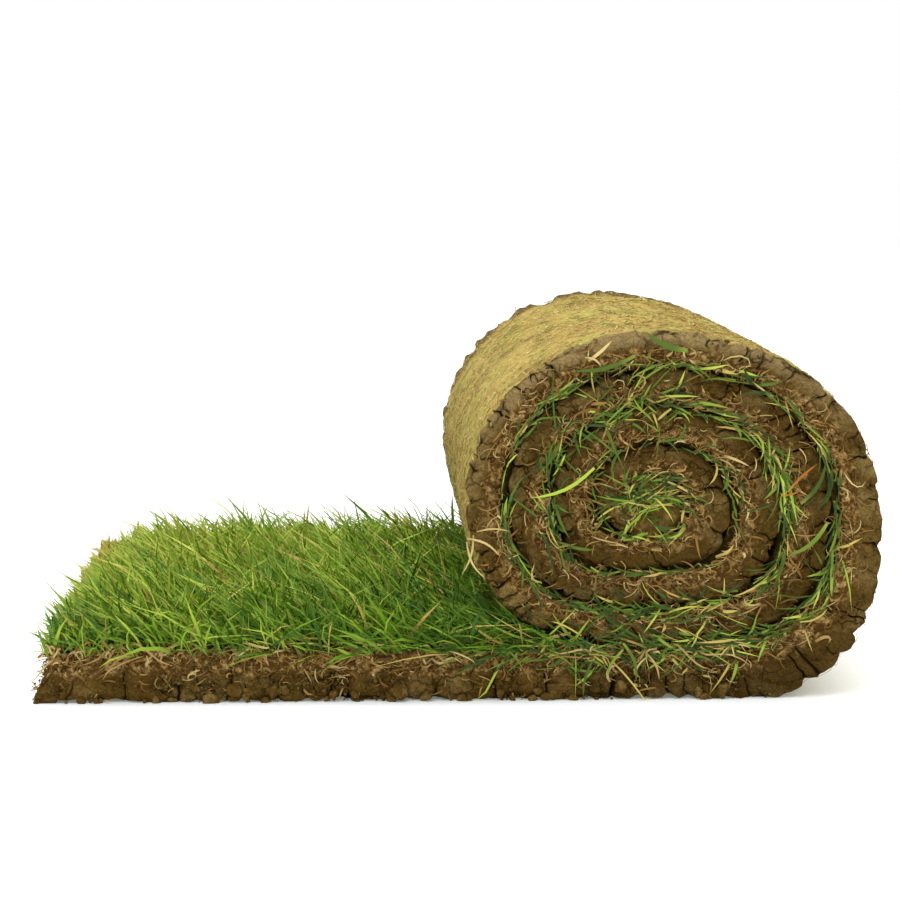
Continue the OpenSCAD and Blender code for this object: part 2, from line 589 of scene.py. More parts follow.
def soil_finish(mottle, soil):
    """Soil with a thatch edge on the ends, and a mat of straw-coloured roots on the soil side."""
    tree = new_material("Soil").node_tree
    lie = attribute(tree, "lie", "Vector")
    depth, skin, sunk, dry = (attribute(tree, name) for name in ("depth", "skin", "sunk", "dry"))
    crumbs = mottled(tree, mottle, lie, soil.soil, soil.smear, soil.hollow_shade, 48.0, 460.0, 0.75)
    thatch, _ = mottled(tree, mottle, lie, soil.thatch, soil.straw, soil.hollow_shade, 260.0, 600.0, 0.9)
    shifts = drift(tree, lie, 60.0, 2.0)
    ground, ground_height = broken_ground(tree, lie, shifts, dry, crumbs, soil)
    roots, root_height = root_skin(tree, lie, shifts, soil)
    edge = maths(tree, "MULTIPLY_ADD", grain(tree, lie, 110.0), 0.5, depth)
    colour = blend(tree, step(tree, edge, 0.8, 0.6), ground, thatch)
    # Painted shade: the soil turns to the dark hollow colour as far as the attribute of painted shade says,
    # in cracks, recesses, gaps and under the roll.
    colour = blend(tree, sunk, blend(tree, skin, colour, roots), soil.hollow_shade)
    contrast = maths(tree, "MULTIPLY_ADD", skin, -0.2, 0.5)
    flecks = colours(tree, grain(tree, lie, 900.0, 4.0, 0.7), (0.3, (0.4,) * 3), (0.7, (1.55,) * 3))
    colour = blend(tree, contrast, colour, flecks, "MULTIPLY")
    dull_surface(tree, colour, blend(tree, skin, ground_height, root_height), 0.95, 0.9, 0.0012)


def litter_finish(mottle, soil):
    """Pressed grass, dead leaves and thatch."""
    tree = new_material("Litter").node_tree
    lie = attribute(tree, "lie", "Vector")
    colour, height = mottled(tree, mottle, lie, soil.litter, soil.thatch, soil.hollow_shade, 180.0, 700.0)
    dull_surface(tree, colour, height, 0.9, 0.8, 0.001)


def crumb_finish(mottle, soil):
    """Loose crumbs and clods of soil."""
    tree = new_material("Crumbs").node_tree
    place = add(tree, "ShaderNodeTexCoord").outputs["Object"]
    colour, height = mottled(tree, mottle, place, soil.soil, soil.smear, soil.hollow_shade, 150.0, 900.0, 0.9)
    dull_surface(tree, colour, height, 0.95, 0.7, 0.0008)


def strand_finish(name, stops, root, root_share, tip_light, roughness):
    """Leaves or straw: the colour map's width is the strand's tint, and its height goes from root to tip."""
    tree = new_material(name).node_tree
    place = add(tree, "ShaderNodeUVMap", settings={"uv_map": "OFBake"}).outputs[0]
    x, y, _ = add(tree, "ShaderNodeSeparateXYZ", place).outputs
    colour = colours(tree, x, *stops)
    colour = blend(tree, maths(tree, "MULTIPLY", step(tree, y, 0.35, 0.0), root_share), colour, root)
    colour = blend(tree, step(tree, y, 0.3, 1.0), colour, tip_light, "MULTIPLY")
    surface(tree, Base_Color=colour, Roughness=roughness, Specular_IOR_Level=0.15)


# ------------------------------------------------------------------ settings


def length_setting(name, description, default):
    return bpy.props.FloatProperty(name=name, description=description, default=default, min=0, unit="LENGTH")


def colour_setting(name, description, *shade):
    return bpy.props.FloatVectorProperty(
        name=name, description=description, default=tone(*shade), size=3, subtype="COLOR", min=0, max=1
    )


def count_setting(name, description, default):
    return bpy.props.IntProperty(name=name, description=description, default=default, min=1)


def number_setting(name, description, default, unit="NONE"):
    return bpy.props.FloatProperty(name=name, description=description, default=default, unit=unit)


class TurfSoil(bpy.types.PropertyGroup):
    """Sizes and colours of the mat of soil, roots and thatch."""

    ring_gap: length_setting("Ring gap", "Distance between the mesh's rings along the strip", 2.3 * MM)
    crack_gap: length_setting("Crack gap", "Mean distance between two cracks", 13 * MM)
    crack_depth: length_setting("Crack depth", "How deep a crack goes in from the strip's edge", 5 * MM)
    relief: length_setting("Relief", "Height of the crumbs and lumps on the cut edges", 1.4 * MM)
    soil: colour_setting("Soil", "Most of the soil", 90, 68, 27)
    smear: colour_setting("Smear", "Soil that the knife has smeared", 126, 104, 58)
    # The colour below is painted shade: the soil, litter and crumbs turn to it in their cracks, pits and
    # recesses and in the gaps between the turns.
    hollow_shade: colour_setting("Hollow", "Soil in its hollows and cracks", 32, 22, 6)
    # The colour below is painted light: the paler soil high on the roll's outer turn.
    dry: colour_setting("Dry", "Soil that has dried near the roll's top", 150, 128, 84)
    thatch: colour_setting("Thatch", "Matted dead stems below the grass", 92, 65, 27)
    straw: colour_setting("Straw", "Dry stems", 190, 156, 96)
    litter: colour_setting("Litter", "Pressed grass and dead leaves", 44, 42, 14)
    root: colour_setting("Roots", "Root mat on the soil side", 171, 147, 80)
    root_shade: colour_setting("Root shade", "Hollows between the roots", 134, 110, 58)
    root_light: colour_setting("Root light", "Roots that catch the light", 185, 162, 92)
    root_pale: colour_setting("Root pale", "The palest roots", 210, 194, 130)
    root_green: colour_setting("Root green", "Yellowish green stems among the roots", 160, 158, 78)


class TurfGrass(bpy.types.PropertyGroup):
    """Sizes, numbers and colours of the grass."""

    tuft_gap: length_setting("Tuft gap", "Distance between two tufts of standing grass", 5.1 * MM)
    blades: count_setting("Blades", "Blades in a tuft", 4)
    length: length_setting("Blade length", "Mean length of a standing blade", 37 * MM)
    width: length_setting("Blade width", "Mean width of a blade", 1.6 * MM)
    pressed: count_setting("Pressed blades", "Blades that show between the turns at each end", 1550)
    eye: count_setting("Eye", "Blades in the tuft that closes each end of the roll's eye", 105)
    deep: colour_setting("Deep green", "The darkest blades", 52, 90, 28)
    green: colour_setting("Green", "Most blades", 104, 141, 28)
    bright: colour_setting("Bright green", "Blades that face the light", 164, 187, 68)
    shaded: colour_setting("Shaded green", "The darkest pressed blades", 38, 60, 22)
    pressed_green: colour_setting("Pressed green", "Most pressed blades", 82, 108, 34)
    yellow: colour_setting("Yellow green", "Old blades", 186, 188, 84)
    straw: colour_setting("Straw", "Dead blades", 190, 164, 92)
    rust: colour_setting("Rust", "A few rusty stems", 158, 98, 36)


class TurfFibre(bpy.types.PropertyGroup):
    """Numbers and colours of thatch, roots and crumbs."""

    thatch: count_setting("Thatch", "Thatch stems at each long edge", 4200)
    fans: count_setting("Fans", "Fans of pale stems at each long edge", 40)
    frayed: count_setting("Frayed", "Stems at the cut end", 700)
    roots: count_setting("Roots", "Root fibres over the soil side", 8000)
    crumbs: count_setting("Crumbs", "Small crumbs of soil on the edges", 4200)
    clods: count_setting("Clods", "Larger clods of soil", 90)
    brown: colour_setting("Brown", "Old thatch", 86, 58, 24)
    tan: colour_setting("Tan", "Most thatch", 146, 112, 54)
    pale: colour_setting("Pale", "Fresh roots and stems", 208, 186, 124)


class TurfStage(bpy.types.PropertyGroup):
    """The floor, the light and the camera."""

    floor: colour_setting("Floor", "Colour of the floor", 246, 246, 246)
    front: number_setting("Front", "Brightness of the surroundings in front", 0.55)
    above: number_setting("Above", "Brightness added high above", 0.9)
    key: number_setting("Key", "Power of the lamp above the front", 10, "POWER")
    lens: number_setting("Lens", "Focal length of the camera", 108.7, "CAMERA")


SETTINGS = {"turf_soil": TurfSoil, "turf_grass": TurfGrass, "turf_fibre": TurfFibre, "turf_stage": TurfStage}


# ------------------------------------------------------------------ the mat


OUTER_STRETCH = (6 * MM, PATH.at_turn(1.3))  # the part of the mat whose soil side shows
OUTER_ROWS, INNER_ROWS = (20, 40, 8), (20, 6, 4)  # of the mesh on each edge, the soil side and the grass side


def crack_plan(soil, stretch, seed):
    """Where the cracks across the mat's edges are, and how each one runs."""
    rng = np.random.default_rng(seed)
    gaps = np.clip(rng.lognormal(-0.15, 0.65, int(4 * (stretch[1] - stretch[0]) / soil.crack_gap)), 0.35, 2.8)
    gaps *= soil.crack_gap
    centre = stretch[0] + np.cumsum(gaps)
    centre = centre[centre < stretch[1] - soil.crack_gap / 2]
    n = len(centre)
    plan = {
        "centre": centre,
        "span": np.minimum(np.diff(centre, prepend=stretch[0]), np.diff(centre, append=stretch[1])) * 0.45,
        "half": rng.uniform(0.4, 1.2, n) * MM,
        "depth": rng.uniform(0.15, 1.0, (2, n)) * soil.crack_depth,
        "reach": rng.uniform(0.15, 0.8, (2, n)),
        "notch": (np.array([[0.4], [2.2]]) + np.array([[4.2], [5.5]]) * rng.random((2, n)) ** 1.6) * MM,
        "tilt": rng.normal(0, 3.0, n) * MM,
        "wave": rng.normal(0, 1.4, n) * MM,
        "phase": rng.uniform(0, 6.3, n),
    }
    if stretch[0] < PATH.flat:  # one wide, deep crack at the roll's foot
        deep = np.abs(centre - PATH.flat + 22 * MM).argmin()
        plan["half"][deep], plan["depth"][:, deep], plan["reach"][:, deep] = 1.5 * MM, 8 * MM, 0.95
    return plan


def ring_places(soil, stretch, cracks):
    """Distances of the mesh's rings along the strip, three of them to a crack, and which lie in one."""
    centre, half = cracks["centre"], cracks["half"]
    even = np.arange(stretch[0], stretch[1], soil.ring_gap)
    even = even[np.abs(even[:, None] - centre).min(1) > 1.6 * half.max()]
    places = np.concatenate([even, centre, centre - half, centre + half])
    order = np.argsort(places)
    return places[order], (order >= len(even)) & (order < len(even) + len(centre))


def cut_slope(along, depth):
    """How much farther along the strip its sloping cut end starts at this depth."""
    return CUT_SLOPE * (1 - depth) * np.clip(1 - along / SLOPE_END, 0, 1)


def edge_rows(end_rows, soil_rows, grass_rows):
    """Depth and distance across of each row round the mat: front edge, soil side, back edge, grass side."""
    down = np.linspace(0, 1, end_rows)
    wide = np.linspace(-1, 1, soil_rows + 2)[1:-1]
    soil = np.sign(wide) * (1 - (1 - np.abs(wide)) ** 1.8) * HALF_WIDTH
    grass = np.sin(np.linspace(1, -1, grass_rows + 2)[1:-1] * np.pi / 2 * 0.985) * HALF_WIDTH
    depth = np.concatenate([down, soil * 0 + 1, down[::-1], grass * 0])
    across = np.concatenate([down * 0 - HALF_WIDTH, soil, down * 0 + HALF_WIDTH, grass])
    return depth, across


def crumbly(flat, depth):
    """From 0 where the knife left a smooth face to 1 where the soil crumbled away."""
    loose = ramp(PATH.flat + 40 * MM - flat[..., 0], 0, 60 * MM)
    broken = ramp(noise(flat * [1, 1, 0.7], 13 * MM, 16), 0.22 - 0.15 * loose, 0.5 - 0.2 * loose)
    return broken * ramp(depth, 0.25, 0.45)


def end_relief(flat, depth, thick, soil):
    """How far a point on a long edge stands out of the edge's plane, without its cracks."""
    lumps = noise(flat, 17 * MM, 1) * 0.8 + noise(flat, 7 * MM, 2) * 0.5 + noise(flat, 3 * MM, 3) * 0.3
    rough = noise(flat, 3.6 * MM, 4) + 0.8 * noise(flat, 2 * MM, 17)
    thatchy = ramp(depth + 0.13 * noise(flat, 9 * MM, 5), 0.5, 0.34)
    smeared = np.minimum(lumps, 0.1)
    height = smeared + (lumps + rough * 0.9 - 0.8 - smeared) * thatchy
    rim = np.minimum(depth, 1 - depth) * thick
    lost = ramp(noise(flat * [1, 1, 0.4], 17 * MM, 6), 0.2, 0.5) * ramp(depth, 0.72, 0.95)
    pits = ramp(np.abs(noise(flat, 12 * MM, 10)), 0.08, 0) * ramp(depth, 0.25, 0.5) * 0.8
    rounded = 1.2 + 1.6 * ramp(flat[..., 0], PATH.flat, PATH.flat + 60 * MM) * (depth < 0.5)
    height = height * soil.relief - rounded * MM * np.exp(-rim / (1.6 * MM))
    height = height - crumbly(flat, depth) * (2.4 + 1.3 * rough) * MM
    return height - 2.6 * MM * lost - 2.8 * MM * pits


def rim_notch(cracks, along, across):
    """How far the soil side is worn away where the cracks reach the mat's long edges."""
    nearest = np.abs(along[..., None] - cracks["centre"]).argmin(-1)
    beside = np.exp(-(((along - cracks["centre"][nearest]) / (3.2 * MM)) ** 2))
    inward = HALF_WIDTH - np.abs(across)
    far = np.where(across > 0, 22, 13) * MM
    return cracks["notch"][(across > 0).astype(int), nearest] * beside * np.exp(-inward / far)


def crack_sway(cracks, rings, depth_row):
    """How far along the strip each ring moves at each row, so that the cracks slant and waver."""
    knots = cracks["centre"][:, None] + cracks["span"][:, None] * np.array([-1, 0, 1])
    sway = np.zeros((len(rings), len(depth_row)))
    for k, depth in enumerate(depth_row):
        bend = cracks["tilt"] * (1 - depth) + cracks["wave"] * np.sin(5 * depth + cracks["phase"])
        bend = bend + 1.6 * MM * noise(xyz(cracks["centre"], depth * 25 * MM, 0), 3.4 * MM, 14)
        bend = np.clip(bend, -0.7 * cracks["span"], 0.7 * cracks["span"])
        sway[:, k] = np.interp(rings, knots.ravel(), (bend[:, None] * np.array([0, 1, 0])).ravel())
    return sway


def soil_side_wear(cracks, unswayed, along, across, depth):
    """How much the soil side is worn away by ripples, notches and bites, and where it is bitten.
    unswayed is each point's distance along the strip before it moved with the cracks."""
    inward = HALF_WIDTH - np.abs(across)
    spots = xyz(along, across, 0)
    bands = spots * [1, 0.35, 1]
    ripple = noise(bands, 22 * MM, 7) * 0.8 + noise(bands, 7 * MM, 8) * 0.6 + noise(bands, 3.5 * MM, 13) * 0.3
    lifted = 0.9 * MM * ramp(noise(spots * [1, 0.5, 1], 16 * MM, 18), 0.0, 0.5) * (along < PATH.flat)
    bitten = ramp(np.abs(noise(spots * [1, 0.12, 1], 8 * MM, 21)), 0.2, 0) * np.exp(-inward / (34 * MM))
    bitten = bitten * (across > 0) * (depth > 0.99)
    at_edge = (lifted + 1.2 * MM * np.maximum(noise(spots, 5 * MM, 9), 0)) * np.exp(-inward / (5 * MM))
    notch = rim_notch(cracks, unswayed, across) * np.where(along < PATH.flat - 20 * MM, 0.5, 1)
    return ripple * MM + at_edge + notch + 2.6 * MM * bitten, bitten


def root_cover(along, across, depth):
    """1 where roots cover the soil side, and 0 on the bare rims and the mat's other sides."""
    spots = xyz(along, across, 0)
    rim = np.where(across > 0, BARE_RIM, 3 * MM)
    uneven = 0.4 * noise(spots * [1, 0.35, 1], 12 * MM, 19) + 0.3 * noise(spots, 30 * MM, 22)
    ragged = HALF_WIDTH - np.abs(across) + rim * uneven
    skin = ramp(ragged, np.where(across > 0, BARE_EDGE, 0.8 * MM), rim) * (depth > 0.99)
    return skin * (along > 20 * MM)


def painted_light_on_top(along, across, depth, points):
    """Painted light from 0 to 1: the soil is drawn paler on the upper part of the roll's outer turn, reaching
    lower on its left.
    """
    height = points[:, 2] - PATH.eye[1]
    wet = np.where(points[:, 0] > PATH.eye[0], 30, -25) * MM
    dry = (PATH.at(along, PATH.turn) < 1) * ramp(depth, 0.35, 0.8)
    dry = dry * (0.05 + 0.95 * ramp(height, wet, 95 * MM))
    dry = dry * np.where((depth > 0.99) & (across > 0), 0.35, 1)
    return dry * (along > PATH.flat + 60 * MM)


def shaded(flat, depth, points):
    """How much painted shade darkens the ends in the gaps between the inner turns and low at the roll's foot.
    """
    gap = ramp(depth, 0.78, 0.98) * ramp(noise(flat, 26 * MM, 20), -0.5, 0.4) * 0.85
    inner = (PATH.at(flat[:, 0], PATH.turn) > 1) * np.maximum(gap, 0.22)
    under = 0.36 * (flat[:, 0] > PATH.flat - 40 * MM) * ramp(points[:, 2], 60 * MM, 20 * MM)
    return np.maximum(inner, under)


def mat_stretch(name, soil, stretch, rows, seed):
    """One stretch of the mat as a closed sleeve with cracked and crumbled edges."""
    cracks = crack_plan(soil, stretch, seed)
    rings, cracked = ring_places(soil, stretch, cracks)
    depth_row, across_row = edge_rows(*rows)
    piece, ring, row = sheet_grid(name, len(rings), len(depth_row))
    sway = crack_sway(cracks, rings, depth_row)
    depth, across = depth_row[row], across_row[row]
    nearest = np.abs(rings[:, None] - cracks["centre"]).argmin(1)[ring]
    aside = rings[ring] - cracks["centre"][nearest]
    widen = (0.35 + 0.9 * depth) * (1 + 0.6 * noise(xyz(rings[ring], across, depth * 25 * MM), 4 * MM, 15))
    lip = np.abs(aside) < 1.01 * cracks["half"][nearest]
    along = rings[ring] + np.where(lip, aside * (widen - 1), 0) + sway[ring, row]
    along = along + cut_slope(along, depth)
    thick = PATH.at(along, PATH.thickness)
    flat = xyz(along, across, -depth * thick)
    inward = HALF_WIDTH - np.abs(across)

    back = (across > 0).astype(int)
    reach = 1 - cracks["reach"][back, nearest]
    deep = ramp(depth, reach - 0.12, reach + 0.1) * cracks["depth"][back, nearest]
    gone = deep * np.where(cracked[ring], 1, 0.22 * np.exp(-np.abs(aside) / (2.2 * MM)))
    stand = end_relief(flat, depth, thick, soil) - gone
    flat[:, 1] += np.sign(across) * stand * np.exp(-inward / (5 * MM))
    wear, bitten = soil_side_wear(cracks, rings[ring], along, across, depth)
    to_soil_side = (1 - depth) * thick
    flat[:, 2] += wear * np.exp(-to_soil_side / (3 * MM)) * (depth > 0)
    points = roll_up(flat)
    # Painted shade: the soil is drawn darker in its cracks and recesses, in the gaps between the turns, low
    # under the roll and in the bites of the soil side.
    sunk = np.maximum(ramp(gone, 0.4 * MM, 3 * MM), 0.6 * ramp(-stand, 2.5 * MM, 6 * MM))
    sunk = np.maximum(np.maximum(sunk, shaded(flat, depth, points)) * (inward < 8 * MM), 0.7 * bitten)
    dry = painted_light_on_top(along, across, depth, points)
    write_places(piece, lie=flat, depth=depth, skin=root_cover(along, across, depth), sunk=sunk, dry=dry)
    return close_sleeve(piece, points)


def write_places(piece, **values):
    """The attributes that the soil's finish reads."""
    for name, value in values.items():
        write_attribute(piece, name, value)


def cut_block(soil):
    """The crumbled face at the strip's cut end, as a closed block across the strip."""
    end_rows, reach = 18, 14 * MM
    rings = np.linspace(-HALF_WIDTH + 1.2 * MM, HALF_WIDTH - 1.2 * MM, 180)
    down = np.linspace(0, 1, end_rows)
    along_row = np.concatenate([down * 0, [reach / 2, reach, reach, reach / 2]])
    depth_row = np.concatenate([down, [1, 1, 0, 0]])
    piece, ring, row = sheet_grid("cut_end", len(rings), len(along_row))
    along, depth, across = along_row[row], depth_row[row], rings[ring]
    thick = PATH.at(along, PATH.thickness)
    spots = xyz(across, depth * 0 + 1, -depth * thick)
    stand = end_relief(spots, depth, thick, soil) * 1.6 * np.exp(-along / (5 * MM))
    cracked = ramp(np.abs(noise(spots * [1, 1, 0.25], 11 * MM, 11)), 0.07, 0.0) * ramp(depth, 0.35, 0.6)
    stand = stand - cracked * 3 * MM * (along == 0)
    flat = xyz(along - stand + cut_slope(along, depth), across, -depth * thick)
    lie = xyz(across, along, depth * thick)
    # Painted shade darkens the cracks of the cut face.
    write_places(piece, lie=lie, depth=depth, skin=along * 0, sunk=cracked * (along == 0), dry=along * 0)
    return close_sleeve(piece, roll_up(flat))


class TURF_OT_cut_mat(bpy.types.Operator):
    """Models the mat of soil, roots and thatch, cracked and crumbled along its edges"""

    bl_idname = "turf.cut_mat"
    bl_label = "Cut Mat"

    def execute(self, context):
        soil = context.scene.turf_soil
        pieces = [
            mat_stretch("mat", soil, OUTER_STRETCH, OUTER_ROWS, MAT_SEED),
            mat_stretch("wound", soil, (OUTER_STRETCH[1], PATH.length), INNER_ROWS, 22),
            cut_block(soil),
        ]
        mat = joined("soil_and_roots", pieces)
        finish_piece(mat, "Soil", replaces="soil_mat")
        return {"FINISHED"}


FACE_RADIUS, FACE_HEIGHT = 0.75, 0.662  # the part of a ball of radius 1 that becomes the plug's flat end


def eye_plug():
    """The crumbled soil that fills the roll's eye from end to end, made from a ball."""
    bpy.ops.object.select_all(action="DESELECT")
    bpy.ops.mesh.primitive_ico_sphere_add(subdivisions=5, radius=1)
    plug = bpy.context.active_object
    plug.name = plug.data.name = "eye_soil"
    ball = get_points(plug)
    round_part = np.linalg.norm(ball[:, [0, 2]], axis=1)
    on_side = round_part > FACE_RADIUS
    way = ball[:, [0, 2]] / np.maximum(round_part, 1e-6)[:, None]
    share = np.minimum(round_part / FACE_RADIUS, 1)
    along = np.sign(ball[:, 1]) * np.where(on_side, np.abs(ball[:, 1]) / FACE_HEIGHT, 1)
    spots = xyz(way[:, 0] * share * 20 * MM, along * HALF_WIDTH, way[:, 1] * share * 20 * MM)
    relief = noise(spots, 9 * MM, 71) * 1.6 + noise(spots, 4 * MM, 72) * 1.2
    relief = relief + noise(spots, 2 * MM, 73) * 0.7 - 1.2
    out = np.sign(along) * (relief * MM - 4 * MM * ramp(share, 0.75, 1)) * ~on_side
    across = along * (HALF_WIDTH - 4 * MM * on_side) + out
    set_points(plug, xyz(PATH.eye[0] + 7 * MM + spots[:, 0], across, PATH.eye[1] - 5 * MM + spots[:, 2]))
    plug.data.update()
    return plug


class TURF_OT_press_nap(bpy.types.Operator):
    """Models the pressed grass between the turns and the litter under the standing grass"""

    bl_idname = "turf.press_nap"
    bl_label = "Press Nap"

    def execute(self, context):
        rings = np.linspace(14 * MM, PATH.length, int(PATH.length / (4 * MM)))
        wide = np.linspace(-1, 1, 30) * (HALF_WIDTH - 6 * MM)
        across_row = np.concatenate([wide, [wide[-1], wide[0]]])
        top_row = np.concatenate([wide * 0 + 1, [0, 0]])
        piece, ring, row = sheet_grid("pressed_grass", len(rings), len(across_row))
        along, across, top = rings[ring], across_row[row], top_row[row]
        room = PATH.at(along, PATH.room)
        litter = 5 * MM + 2.5 * MM * noise(xyz(along, across, top), 9 * MM, 12)
        rise = np.where(along < PATH.flat - 5 * MM, np.minimum(litter, room), room)
        flat = xyz(along, across, top * rise - (1 - top) * 2 * MM)
        write_attribute(piece, "lie", flat)
        finish_piece(close_sleeve(piece, roll_up(flat)), "Litter")
        finish_piece(eye_plug(), "Crumbs")
        return {"FINISHED"}


# ------------------------------------------------------------------ the grass


def grow_half(name, grass, low, high, seed):
    """The standing grass between two distances across the strip, in tufts."""
    rng = np.random.default_rng(seed)
    reach = PATH.flat - 40 * MM
    rows, columns = int(reach / grass.tuft_gap), int((high - low) / grass.tuft_gap)
    along = np.repeat((np.arange(rows) + 0.5) / rows * reach, columns)
    across = np.tile(low + (np.arange(columns) + 0.5) / columns * (high - low), rows)
    along = along + rng.uniform(-0.5, 0.5, len(along)) * grass.tuft_gap
    across = across + rng.uniform(-0.5, 0.5, len(along)) * grass.tuft_gap
    n = len(along) * grass.blades
    along = np.repeat(along, grass.blades) + rng.normal(0, 0.9, n) * MM
    across = np.repeat(across, grass.blades) + rng.normal(0, 0.9, n) * MM
    across = np.clip(across, -HALF_WIDTH + MM, HALF_WIDTH - MM)
    worn = WORN_WEDGE * ((across + HALF_WIDTH) / (2 * HALF_WIDTH)) ** 0.8
    stubble = along < 6 * MM + worn * rng.uniform(0.6, 1.1, n)
    along = np.maximum(along, rng.uniform(7, 15, n) * MM)
    spot = xyz(along, across, 0)
    wander = noise(spot, 45 * MM, 31)
    vigour = noise(spot, 30 * MM, 32)

    near_roll = ramp(along, 0.35 * PATH.flat, 0.8 * PATH.flat)
    heading = np.pi + 0.6 * wander + rng.normal(0, 0.7, n)
    stray = rng.random(n) < 0.26
    heading = np.where(stray, rng.uniform(0, 2 * np.pi, n), heading)
    pitch = np.radians(drawn(rng, n, 58 - 10 * near_roll, 18, 15, 90))
    end = ramp(along - worn, 44 * MM, 8 * MM)
    length = grass.length * np.clip(1 + 0.14 * vigour + rng.normal(0, 0.2, n), 0.35, 1.5)
    length = length * (1 - 0.36 * end) * (1 + 0.12 * near_roll) * np.where(stubble, 0.55, 1)
    pitch = pitch + 0.55 * end
    edge = ramp(HALF_WIDTH - np.abs(across), 8 * MM, 0) * np.sign(across)
    reach = xyz(np.cos(heading) * np.cos(pitch), np.sin(heading) * np.cos(pitch) + 0.3 * edge, np.sin(pitch))
    lean = rng.uniform(-0.1, 0.45, n) * (1 - 0.7 * end)
    sag = rng.uniform(0.0, 0.42, n) + 0.35 * np.abs(edge) * rng.random(n)
    twist = rng.normal(0, 0.22, n)
    bend = xyz(np.cos(heading) * lean - twist, np.sin(heading) * lean + twist + 0.2 * edge, -sag)
    spine = kept_near(arcs(xyz(along, across, -2 * MM), length, unit(reach), bend, 4))
    ceiling = PATH.at(spine[..., 0], PATH.room) - 2 * MM
    spine[..., 2] = np.minimum(spine[..., 2], np.maximum(ceiling, 2 * MM))
    width = grass.width * skewed(rng, n, -0.12, 0.3, 0.4, 1.8)
    facing = unit(xyz(rng.normal(0, 0.8, n), rng.normal(-0.3, 0.9, n), 1))
    shade = along / PATH.flat
    # Painted shade and painted light: blades are drawn darker towards the roll and lighter towards the back
    # edge.
    tint = 0.51 - 0.32 * shade + 0.16 * across / HALF_WIDTH + 0.07 * wander + 0.06 * vigour
    tint = tint + rng.normal(0, 0.19, n)
    dead = rng.random(n) < np.where(stubble, 0.5, 0.035)
    tint = np.where(dead, rng.uniform(0.85, 0.98, n), np.clip(tint, 0.02, 0.8))
    return strands(name, roll_up(spine), blade_widths(width, 4), facing, tint)


class TURF_OT_grow_sward(bpy.types.Operator):
    """Grows the standing grass on the flat stretch"""

    bl_idname = "turf.grow_sward"
    bl_label = "Grow Sward"

    def execute(self, context):
        grass = context.scene.turf_grass
        front = grow_half("sward_front", grass, -HALF_WIDTH, 0, 41)
        finish_piece(front, "Leaves", replaces="grass", sharp=STRAND_ANGLE)
        finish_piece(grow_half("sward_back", grass, 0, HALF_WIDTH, 42), "Leaves", sharp=STRAND_ANGLE)
        return {"FINISHED"}


# Where the pressed grass spreads out at the ends: turns from the ground, spread in turns, and amount.
SPLAYS = (
    (-0.12, 0.07, 1.0),
    (-0.03, 0.06, 1.0),
    (0.06, 0.07, 0.8),
    (0.17, 0.05, 0.7),
    (1.04, 0.12, 0.8),
    (1.55, 0.15, 1.5),
    (1.27, 0.05, 0.6),
    (1.78, 0.06, 0.5),
    (2.3, 0.1, 0.4),
    (3.6, 0.5, 0.8),
)


def splay(turn):
    """From 0 where the pressed grass is a thin line to 1.5 where it spreads most widely."""
    total = sum(amount * np.exp(-(((turn - place) / spread) ** 2)) for place, spread, amount in SPLAYS)
    return np.clip(total, 0, 1.5)


def comb_end(name, grass, side, seed):
    """Blades that stick out between the turns at one end of the roll, and in its eye."""
    rng = np.random.default_rng(seed)
    n = grass.pressed * 2
    along = rng.uniform(PATH.flat - 110 * MM, PATH.length - 3 * MM, n)
    turn = PATH.at(along, PATH.turn) + (along < PATH.flat) * (along - PATH.flat) / TURN_LENGTH
    loose = splay(turn if side < 0 else turn + 0.3)
    patchy = ramp(noise(xyz(along, 0, side), 35 * MM, 51), -0.6, 0.5)
    chance = (0.2 + 0.8 * loose) * (0.4 + 0.6 * patchy) * np.where(turn > 2.1, 0.28 + 0.5 * loose, 1)
    keep = rng.random(n) < chance
    along, loose, turn = along[keep], loose[keep], turn[keep]
    n = len(along)
    room = np.minimum(PATH.at(along, PATH.room), 6 * MM)
    height = 0.4 * room + rng.normal(0, 1, n) * (0.9 + 3.2 * loose) * MM
    across = side * (HALF_WIDTH - rng.uniform(0, 6, n) * MM)
    length = drawn(rng, n, 20, 7, 7, 40) * MM
    way = np.where(rng.random(n) < 0.7, -1, 1)
    swing = rng.normal(0, 1, n) * (0.14 + 0.36 * loose)
    reach = xyz(way * np.cos(swing), side * rng.uniform(0.1, 0.5, n), np.sin(swing))
    bend = xyz(rng.normal(0, 0.12, n), side * rng.uniform(-0.4, 0.0, n), rng.normal(0, 0.22, n))
    spine = arcs(xyz(along, across, height), length, unit(reach), bend, 5)
    low = side * spine[..., 1] - HALF_WIDTH - rng.uniform(0.3, 3, n)[:, None] * MM
    spine[:, 2:, 1] -= side * np.minimum(low, 0)[:, 2:]
    spine[..., 1] = np.clip(spine[..., 1], -HALF_WIDTH - 10 * MM, HALF_WIDTH + 10 * MM)
    width = grass.width * drawn(rng, n, 0.82, 0.27, 0.3, 1.6)
    facing = sideways(rng, n, 0.4, side, 0.5)
    tint = np.where(rng.random(n) < 0.1, rng.uniform(0.8, 0.92, n), drawn(rng, n, 0.27, 0.2, 0.03, 0.8))
    return strands(name, roll_up(spine), blade_widths(width, 5), facing, tint)


